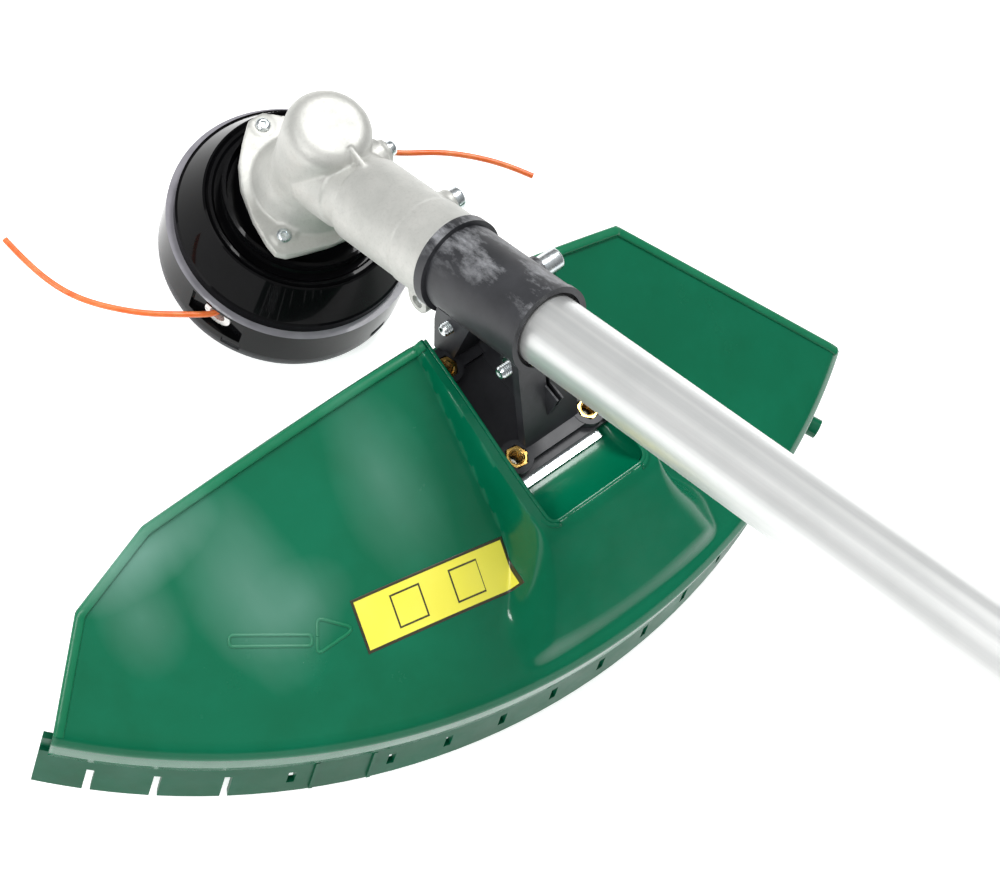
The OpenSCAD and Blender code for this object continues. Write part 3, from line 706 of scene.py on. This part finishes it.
me.from_pydata([tuple(V[v]) for v in used], [], [[ren[v] for v in f][::-1] for f in F])
me.update()
up_ = sum(p.normal.z * p.area for p in me.polygons)
if up_ < 0:
    me.flip_normals()
skin = link("guard_skin", me, "green", smooth=60)
sd = skin.modifiers.new("wall", "SOLIDIFY")
sd.thickness = 0.0026
sd.offset = -1
sd.use_even_offset = False
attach(skin, "frame")

# recess that takes the bracket: walls, a rounded foot and a floor that lifts to the rear edge
ysec = [-83.8 - 1.5 * k for k in range(42)] + [-146.5 - 0.6 * k for k in range(26)]
ysec = [y for y in ysec if y > -161.9] + [-161.95]
V, F = [], []
ns = None
for y in ysec:
    d = y + 162
    w_ = 23.5 if d >= REC_R else 23.5 - (REC_R - math.sqrt(max(REC_R ** 2 - (REC_R - d) ** 2, 0)))
    t = min(max((-144.4 - y) / 17.6, 0), 1)
    zf = 78 + (height(20, -162) - 0.3 - 78) * (0.72 * t * t + 0.28 * (1 - math.cos(t * math.pi / 2)) if t < 1 else 1)
    zt = max(height(w_ + 0.01, y) - 0.05, zf + 0.02)
    rf = min(3.0, (zt - zf) * 0.8)
    sec = [(-w_, zt), (-w_, (zt + zf + rf) / 2), (-w_, zf + rf)]
    sec += [(-w_ + rf - rf * math.cos(a), zf + rf - rf * math.sin(a)) for a in [math.pi / 2 * k / 5 for k in range(1, 6)]]
    sec += [(x, zf) for x in (-16, -10, -4, 0, 4, 10, 16)]
    sec += [(-x, z) for x, z in sec[:8][::-1]]
    ns = len(sec)
    V += [W(x, y, z) for x, z in sec]
for i in range(len(ysec) - 1):
    for k in range(ns - 1):
        F.append([i * ns + k, i * ns + k + 1, (i + 1) * ns + k + 1, (i + 1) * ns + k])
me = mesh_of("guard_recess", V, F, fix=False)
if sum(p.normal.z * p.area for p in me.polygons) < 0:
    me.flip_normals()
ob = link("guard_recess", me, "green", "frame", smooth=50)
sd = ob.modifiers.new("wall", "SOLIDIFY")
sd.thickness = 0.0020
sd.offset = -1


def fillet_poly(pts, rads, step=1.2):
    """Open polyline in plan with rounded corners, evenly resampled."""
    out = [pts[0]]
    for i in range(1, len(pts) - 1):
        a, b, c = Vector(pts[i - 1]), Vector(pts[i]), Vector(pts[i + 1])
        R = rads[i] if isinstance(rads, (list, tuple)) else rads
        u, v = (a - b).normalized(), (c - b).normalized()
        ang = math.acos(max(-1, min(1, u.dot(v))))
        t = R / math.tan(ang / 2)
        t = min(t, (a - b).length * 0.45, (c - b).length * 0.45)
        for k in range(9):
            s_ = k / 8
            p = (b + u * t) * (1 - s_) ** 2 + b * 2 * s_ * (1 - s_) + (b + v * t) * s_ ** 2
            out.append((p.x, p.y))
    out.append(pts[-1])
    res = [out[0]]
    for a, b in zip(out, out[1:]):
        L = math.hypot(b[0] - a[0], b[1] - a[1])
        n = max(1, int(round(L / step)))
        for k in range(1, n + 1):
            q = (a[0] + (b[0] - a[0]) * k / n, a[1] + (b[1] - a[1]) * k / n)
            if math.hypot(q[0] - res[-1][0], q[1] - res[-1][1]) > 0.15:
                res.append(q)
    return res


def lip(name, plan, w_, up_, down, inset, mat, lift=0.0):
    """A rounded lip lying on the guard's upper side along a plan path (body side to the left of travel)."""
    P = []
    for x, y in plan:
        rr = math.hypot(x, y - 67)
        P.append(W(x, y, (height(x, y) if rr < 266.5 else lerp_list([(266.5, 48.4), (269.4, 47), (272, 43.5), (275, 40)], rr)) + lift))
    sec = []
    for k in range(13):
        a = math.pi * k / 12
        sec.append((inset + w_ / 2 * math.cos(a), up_ * math.sin(a) ** 0.8 if 0 < k < 12 else 0))
    sec += [(inset - w_ / 2, -down), (inset + w_ / 2, -down)]
    sec = [(a * 0.001, b * 0.001) for a, b in sec]
    v, f = sweep(P, sec)
    return link(name, mesh_of(name, v, f), mat, "frame", smooth=45)


left_plan = fillet_poly([(-24.7, -84), (-137.5, -80.6), (-170, -90), (-196.6, -117.5)], [0, 10, 7, 0])
right_plan = fillet_poly([(24.7, -79.03), (70.5, -85.3), (139.6, -163.5)], [0, 5, 0])
lip("guard_edge_left", left_plan, 3.6, 1.0, 2.6, -1.9, "green_bead")
lip("guard_edge_right", right_plan, 3.6, 1.0, 2.6, 1.9, "green_bead")
rec_plan = fillet_poly([(-23.5, -84.5), (-23.5, -162), (23.5, -162), (23.5, -80)], [0, 5, 5, 0], 1.0)
lip("guard_recess_lip", rec_plan, 1.3, 0.35, 1.2, 0.55 * -1, "green")

# raised arrow outline that shows which way the head turns
def raised(name, plan, w_, h_, mat):
    P = [W(x, y, height(x, y)) for x, y in plan]
    sec = [(w_ / 2 * math.cos(math.pi * k / 8) * 0.001, (h_ * math.sin(math.pi * k / 8) - 0.15) * 0.001) for k in range(9)]
    v, f = sweep(P, sec)
    return link(name, mesh_of(name, v, f), mat, "frame", smooth=60)


shaft = [(-120, -133.5), (-107.9, -141.6), (-109.8, -144.5), (-133.7, -128.6), (-131.8, -125.6), (-120, -133.5)]
barb = [(-106.65, -143.0), (-103.5, -138.1), (-93.8, -148.3), (-109.8, -147.9), (-106.65, -143.0)]
raised("guard_turn_arrow", fillet_poly(shaft, 1.6, 0.5), 1.3, 0.6, "green_bead")
raised("guard_turn_barb", fillet_poly(barb, 1.6, 0.5), 1.3, 0.6, "green_bead")
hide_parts("guard_shell")
for nm in ("guard_recess", "guard_edge_left", "guard_edge_right", "guard_recess_lip", "guard_turn_arrow", "guard_turn_barb"):
    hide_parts("guard_shell")

# ------------------------------------------------------------------ gearbox casting
def lathe2(rows, place, n=72):
    V, F, R = [], [], []
    for r, h in rows:
        if not callable(r) and r < 1e-6:
            R.append([len(V)])
            V.append(place(0, 0, h))
        else:
            R.append(list(range(len(V), len(V) + n)))
            for k in range(n):
                t = 2 * math.pi * k / n
                q = r(t) if callable(r) else r
                V.append(place(q * math.cos(t), q * math.sin(t), h))
    for A, B in zip(R, R[1:]):
        for k in range(n):
            k2 = (k + 1) % n
            if len(A) == 1:
                F.append([A[0], B[k2], B[k]])
            elif len(B) == 1:
                F.append([A[k], A[k2], B[0]])
            else:
                F.append([A[k], A[k2], B[k2], B[k]])
    return V, F


def disc(place, r, h0, h1, n=72, c=0.0):
    return lathe2([(0, h0), (r - c, h0), (r, h0 + c), (r, h1 - c), (r - c, h1), (0, h1)] if c else [(0, h0), (r, h0), (r, h1), (0, h1)], place, n)


on_t = lambda a, b, s: TB(a, b, s)
up_z = lambda a, b, z: W(a, b, z)
acr = lambda p0, s0: (lambda a, b, x: TB(x, p0 + a, s0 + b))
acz = lambda y0, z0: (lambda a, b, x: W(x, y0 + a, z0 + b))


def dome_pts(r, top, c):
    return [(r - c + c * math.cos(a), top - c + c * math.sin(a)) for a in [math.pi / 2 * k / 10 for k in range(11)]]


FL = [(3.5, 33), (10, 27.5), (17, 20.7), (22.4, 12), (26.4, -1), (28, -12), (27.6, -16.5), (25, -19.5), (19, -21.5), (8, -24.6), (0, -25.6)]
flange = [(x, y) for x, y in FL] + [(-x, y) for x, y in FL[:-1][::-1]]
SCREWS = [(0, 28.6), (21.2, -12.6), (-21.2, -12.6)]


def box(x0, x1, p0, p1, s0, s1, place):
    v = [place(x, p, s) for x in (x0, x1) for p in (p0, p1) for s in (s0, s1)]
    return v, [[0, 1, 3, 2], [4, 6, 7, 5], [0, 4, 5, 1], [2, 3, 7, 6], [0, 2, 6, 4], [1, 5, 7, 3]]


def evaluated(name, me, mods):
    """The mesh after a list of modifiers, as new data."""
    o = bpy.data.objects.new(name + "_work", me)
    SC.collection.objects.link(o)
    for typ, kw in mods:
        md = o.modifiers.new(typ.lower(), typ)
        for k_, v_ in kw.items():
            setattr(md, k_, v_)
    bpy.context.view_layer.update()
    out = bpy.data.meshes.new_from_object(o.evaluated_get(bpy.context.evaluated_depsgraph_get()))
    out.name = name
    bpy.data.objects.remove(o)
    return out


solids = [
    lathe2([(0, 52), (21, 52), (21, 56.6), (19.4, 58.4), (17.9, 60.6), (16.6, 63.6), (15.9, 68), (16.05, 76), (16.3, 84)] + dome_pts(16.3, 101.5, 6.2) + [(0, 101.5)], up_z, 96),
    prism(flange, 52, 56.0, lambda x, y, z: W(x, y, z)),
    disc(on_t, 15.2, 0, 38), disc(on_t, 16.6, 30, 61.6), disc(on_t, 16.2, 55, 63), disc(on_t, 17, 62.4, 77.7),
    disc(acr(-19.5, 67.2), 5, -10, 10), box(-10, 10, -19.5, -10, 62.2, 72.2, on_t),
    disc(acr(4.5, 57), 5, 6, 17.2), disc(acz(-14.4, 87.1), 5, 6, 17.6), disc(acz(-14.4, 87.1), 6.6, 6, 15.2),
    box(-0.95, 0.95, -29, -11, 92, 102.5, lambda x, y, z: W(x, y, z)),
]
solids += [lathe2([(0, 52), (5.0, 52), (4.6, 56.35), (0, 56.35)], (lambda cx, cy: (lambda a, b, z: W(cx + a, cy + b, z)))(*p), 40) for p in SCREWS]
# webs that tie the pot to the flange's corners, and the round between dome and neck
for sx in (1, -1):
    solids.append(prism([(10 * sx, -6), (25.2 * sx, -10.2), (25.2 * sx, -14.2), (8 * sx, -15)], 54, 56.9, lambda x, y, z: W(x, y, z)))
solids.append(lathe2([(0, 6), (15.9, 6), (15.9, 22), (0, 22)], on_t, 72))
vox = 0.00055
casting = evaluated("gearbox_casting", join_meshes("gearbox_raw", solids), [
    ("REMESH", dict(mode="VOXEL", voxel_size=vox, adaptivity=0.0)),
    ("SMOOTH", dict(factor=0.5, iterations=5))])
cuts = [disc(on_t, 13.05, 44, 90), disc(on_t, 10.5, 36, 46), disc(on_t, 11, 19.5, 37), disc(on_t, 10, 8, 20),
        disc(up_z, 11.5, 50, 55.5), disc(up_z, 11, 55, 63), disc(up_z, 10, 62, 79), disc(up_z, 12.5, 78, 89.1), disc(up_z, 9.5, 88, 95.5), disc(up_z, 6, 95, 97),
        box(-0.8, 0.8, -30, -12, 48, 88, on_t), disc(acr(-19.5, 67.2), 2.55, -12, 12, 32), disc(acr(4.5, 57), 2.55, 9, 24, 32), disc(acz(-14.4, 87.1), 2.05, 7, 20, 32)]
cuts += [disc((lambda cx, cy: (lambda a, b, z: W(cx + a, cy + b, z)))(*p), 2.05, 51, 60, 24) for p in SCREWS]
SOLVERS = [e.identifier for e in bpy.types.BooleanModifier.bl_rna.properties["solver"].enum_items]
fast = "MANIFOLD" in SOLVERS


def cut(me, parts, name):
    objs = []
    for k, c in enumerate(parts):
        o = bpy.data.objects.new("cutter_%d" % k, join_meshes("cutter_%d" % k, [c]))
        SC.collection.objects.link(o)
        objs.append(o)
    mods = [("BOOLEAN", dict(operation="DIFFERENCE", object=o, solver="MANIFOLD" if fast else "EXACT")) for o in objs]
    out = evaluated(name, me, mods)
    for o in objs:
        bpy.data.objects.remove(o)
    return out


n_before = len(casting.polygons)
casting = cut(casting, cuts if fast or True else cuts[:1], "gearbox_body")
print("casting faces", n_before, len(casting.polygons), "solvers", SOLVERS)
link("gearbox_casting", casting, "cast", "frame", smooth=42)
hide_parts("gearbox_housing")


# ------------------------------------------------------------------ screws and bolts
def hexr(af):
    return lambda t: (af / 2) / math.cos(((t + math.pi / 6) % (math.pi / 3)) - math.pi / 6)


def knurl(r, n=72, d=0.02):
    return lambda t: r * (1 - d * (round(t / (2 * math.pi) * n) % 2))


def thread(r, h0, h1, pitch=0.8, depth=0.42):
    out = []
    n = max(1, int((h1 - h0) / pitch))
    p = (h1 - h0) / n
    for k in range(n):
        out += [(r - depth, h0 + k * p), (r - 0.04, h0 + (k + 0.38) * p), (r - 0.04, h0 + (k + 0.55) * p)]
    return out + [(r - depth, h1)]


def cap_head(r, h0, h1, af, depth, kn=True):
    """Socket cap from its seat h0 to its top h1."""
    R_ = knurl(r) if kn else r
    return [(r - 0.35, h0), (R_, h0 + 0.3), (R_, h1 - 0.9), (r - 0.12, h1 - 0.55), (r - 0.3, h1 - 0.22), (r - 0.62, h1), (af / 2 * 1.155 + 0.45, h1), (hexr(af + 0.35), h1 - 0.03), (hexr(af), h1 - 0.3), (hexr(af), h1 - depth), (0, h1 - depth - 0.5)]


def cup_end(r, h, s=-1):
    """Cupped point of a threaded end: rows from the axis outwards, s is the way the point faces."""
    return [(0, h - s * 0.9), (r - 1.25, h - s * 0.15), (r - 0.95, h), (r - 0.7, h), (r - 0.42, h - s * 0.35)]


def replace_bolts(node, parts, mat="zinc", body="frame"):
    me = join_meshes(node + "_detail", parts)
    ob = link(node + "_detail", me, mat, body, smooth=32)
    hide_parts(node)
    return ob


def rev(rows, place, n=72):
    return lathe2(rows, place, n)


# pinch bolts: the front one is long, with its head out to the right
front = cup_end(2.5, -16.1) + thread(2.5, -15.6, 6.4)[1:] + [(2.5, 6.8), (2.5, 29.1)] + cap_head(4.25, 29.1, 38.1, 4, 3.6)
rear_ = cup_end(2.5, -16.1) + thread(2.5, -15.6, 6.4)[1:] + [(2.5, 6.8), (2.5, 11)] + cap_head(4.25, 11, 20, 4, 3.6)
replace_bolts("pinch_bolts", [rev(front, acr(-15.7, 88.8)), rev(rear_, acr(-15.7, 119.2))])
ncb = [(0, -8.0), (1.9, -8.6), (2.1, -8.5)] + thread(2.5, -8.4, 3)[1:] + [(2.5, 3.4), (2.5, 10), (4.85, 10), (5.0, 10.15), (5.0, 10.75), (4.85, 10.9)] + cap_head(4.2, 10.9, 15.5, 4, 2.9)
replace_bolts("neck_clamp_bolt", [rev(ncb, acr(-19.5, 67.2))])
lb = [(0, 10.2), (2.1, 10.2)] + thread(2.5, 10.4, 16.8)[1:] + [(2.5, 17.2)] + cap_head(4.2, 17.2, 21.2, 4, 2.2)
replace_bolts("locating_bolt", [rev(lb, acr(4.5, 57))])
gp = [(0, 11.5), (1.7, 11.5)] + thread(2.0, 11.6, 17.3, 0.7, 0.3)[1:] + [(2.0, 17.6), (3.65, 17.6), (3.8, 17.75), (3.8, 18.35), (3.65, 18.5)] + cap_head(2.9, 18.5, 21.3, 2.6, 1.7, kn=False)
replace_bolts("grease_plug", [rev(gp, acz(-14.4, 87.1))])


def hexag(af, z0, z1):
    return lambda t: (af / 2) / math.cos(((t + math.pi / 6) % (math.pi / 3)) - math.pi / 6)


fs = []
for cx, cy in SCREWS:
    fs.append(rev([(0, 52.15), (1.7, 52.15)] + thread(2.0, 52.3, 56.0, 0.7, 0.3)[1:] + [(2.0, 56.2), (2.7, 56.2), (2.9, 56.35), (2.88, 56.9), (2.6, 57.35), (2.1, 57.66), (1.62, 57.8), (hexr(2.55), 57.78), (hexr(2.4), 57.6), (hexr(2.4), 56.8), (0, 56.6)], (lambda a_, b_: (lambda a, b, z: W(a_ + a, b_ + b, z)))(cx, cy), 48))
replace_bolts("flange_screws", fs)

# brass hex inserts with a chamfered rim and a plain bore
INS = [(17, -94.2), (-17, -94.2), (17, -134.7), (-17, -134.7)]
bi = []
for k, (cx, cy) in enumerate(INS):
    tw = 0.25 + 0.5 * k
    hx = lambda af, tw=tw: (lambda t: (af / 2) / math.cos(((t + tw + math.pi / 6) % (math.pi / 3)) - math.pi / 6))
    bi.append(rev([(2.52, 80.6), (hx(7.9), 80.6), (hx(7.96), 80.8), (hx(7.96), 87.0), (hx(7.75), 87.3), (hx(7.35), 87.5), (3.05, 87.5), (2.55, 87.0)] + thread(2.52, 80.6, 87.0, 0.8, 0.001)[::-1][:1] + [(2.52, 80.6)], (lambda a_, b_: (lambda a, b, z: W(a_ + a, b_ + b, z)))(cx, cy), 72))
replace_bolts("brass_inserts", bi, "brass")

gsc = [rev(cup_end(2.45, 80.6, 1) + thread(2.45, 75.6, 80.0)[::-1] + [(2.45, 75.4)] + [(4.25, 75.4), (knurl(4.25), 75.1), (knurl(4.25), 71.9), (4.1, 71.4), (3.9, 71.1), (3.6, 71.0), (2.8, 71.0), (hexr(4.2), 71.05), (hexr(4.0), 71.3), (hexr(4.0), 73.6), (0, 74.0)], (lambda a_, b_: (lambda a, b, z: W(a_ + a, b_ + b, z)))(cx, cy), 72) for cx, cy in INS]
replace_bolts("guard_screws", gsc)

# ------------------------------------------------------------------ label, draped on the guard
LC = [Vector((-91, -140)), Vector((-32, -152)), Vector((-35.6, -170)), Vector((-94.5, -158))]
NU, NV = 190, 58
LW, LH = 60.2, 18.4
V, F, K = [], [], []


def mark(u, v):
    """1 where the print is dark: the border and the outlines of two blank squares."""
    a, b = u * LW, v * LH
    if min(a, LW - a, b, LH - b) < 0.85:
        return 1
    for cx in (19.5, 42.5):
        d = max(abs(a - cx), abs(b - LH / 2))
        if 5.2 < d < 5.75:
            return 1
    return 0


for j in range(NV + 1):
    for i in range(NU + 1):
        u, v = i / NU, j / NV
        top, bot = LC[0].lerp(LC[1], u), LC[3].lerp(LC[2], u)
        p = top.lerp(bot, v)
        V.append(W(p.x, p.y, height(p.x, p.y) + 0.16))
for j in range(NV):
    for i in range(NU):
        F.append([j * (NU + 1) + i, j * (NU + 1) + i + 1, (j + 1) * (NU + 1) + i + 1, (j + 1) * (NU + 1) + i])
        K.append(mark((i + 0.5) / NU, (j + 0.5) / NV))
me = bpy.data.meshes.new("side_label_film")
me.from_pydata([tuple(v) for v in V], [], F)
me.update()
for p, k in zip(me.polygons, K):
    p.material_index = k
if sum(p.normal.z for p in me.polygons) < 0:
    me.flip_normals()
lab = link("side_label_film", me, ["yellow", "ink"], "frame", smooth=60)
sd = lab.modifiers.new("film", "SOLIDIFY")
sd.thickness = 0.00012
sd.offset = -1
sd.use_rim = True
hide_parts("side_label")

# ------------------------------------------------------------------ knob spring
HX, N_ = [], 160
for i in range(N_ + 1):
    f = i / N_
    a = 2 * math.pi * 5.5 * f
    g = f * 0.5 if f < 0.1 else (0.95 + (f - 0.9) * 0.5 if f > 0.9 else 0.05 + (f - 0.1) * 0.9 / 0.8)
    HX.append(W(12.2 * math.cos(a), 12.2 * math.sin(a), 17.97 + 21.46 * g))
wire = [(0.00083 * math.cos(2 * math.pi * k / 12), 0.00083 * math.sin(2 * math.pi * k / 12)) for k in range(12)]
v, f = sweep(HX, wire)
spring = link("knob_spring_coil", mesh_of("knob_spring_coil", v, f), "spring", "head", smooth=50)
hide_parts("knob_spring")
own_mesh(spring)


# ------------------------------------------------------------------ floor and light
bpy.ops.mesh.primitive_plane_add(size=12, location=(0, 0, -0.0006))
floor = bpy.context.object
floor.name = "floor"
q = MB("floor_paper")
col = q.mix(q.ramp(q.noise(2.0, 3), [(0.3, 0.0), (0.7, 1.0)]), (0.86, 0.86, 0.86), (0.88, 0.88, 0.88))
q.b.inputs["Emission Color"].default_value = (1, 1, 1, 1)
q.b.inputs["Emission Strength"].default_value = 0.72
floor.data.materials.append(q.done(col, 0.9, spec=0.1))

w = bpy.data.worlds.new("studio")
SC.world = w
w.use_nodes = True
bg = w.node_tree.nodes["Background"]
wt = w.node_tree.nodes.new("ShaderNodeTexCoord")
wx = w.node_tree.nodes.new("ShaderNodeSeparateXYZ")
wr = w.node_tree.nodes.new("ShaderNodeValToRGB")
w.node_tree.links.new(wt.outputs["Generated"], wx.inputs[0])
w.node_tree.links.new(wx.outputs[2], wr.inputs["Fac"])
for k, (p, c) in enumerate([(0.0, 0.30), (0.30, 0.36), (0.62, 0.62), (0.86, 1.05), (1.0, 1.1)]):
    if k > 1:
        wr.color_ramp.elements.new(p)
    wr.color_ramp.elements[k].position = p
    wr.color_ramp.elements[k].color = (c, c, c * 1.01, 1)
w.node_tree.links.new(wr.outputs["Color"], bg.inputs["Color"])
bg.inputs["Strength"].default_value = 0.66


def area(name, loc, target, size, power, size_y=None):
    l = bpy.data.lights.new(name, "AREA")
    l.energy = power
    l.size = size
    if size_y:
        l.shape = "RECTANGLE"
        l.size_y = size_y
    o = bpy.data.objects.new(name, l)
    SC.collection.objects.link(o)
    d = Vector(target) - Vector(loc)
    o.matrix_world = Matrix.Translation(loc) @ d.to_track_quat("-Z", "Y").to_matrix().to_4x4()
    return o


area("key", (-0.75, 0.75, 1.5), (0, -0.12, 0.05), 0.9, 4.5, 0.7)
area("top", (0.66, 0.26, 1.42), (0, -0.02, 0.03), 0.42, 13)
area("window_a", (-0.95, -0.05, 0.85), (0, 0, 0.04), 0.16, 4.5, 0.30)
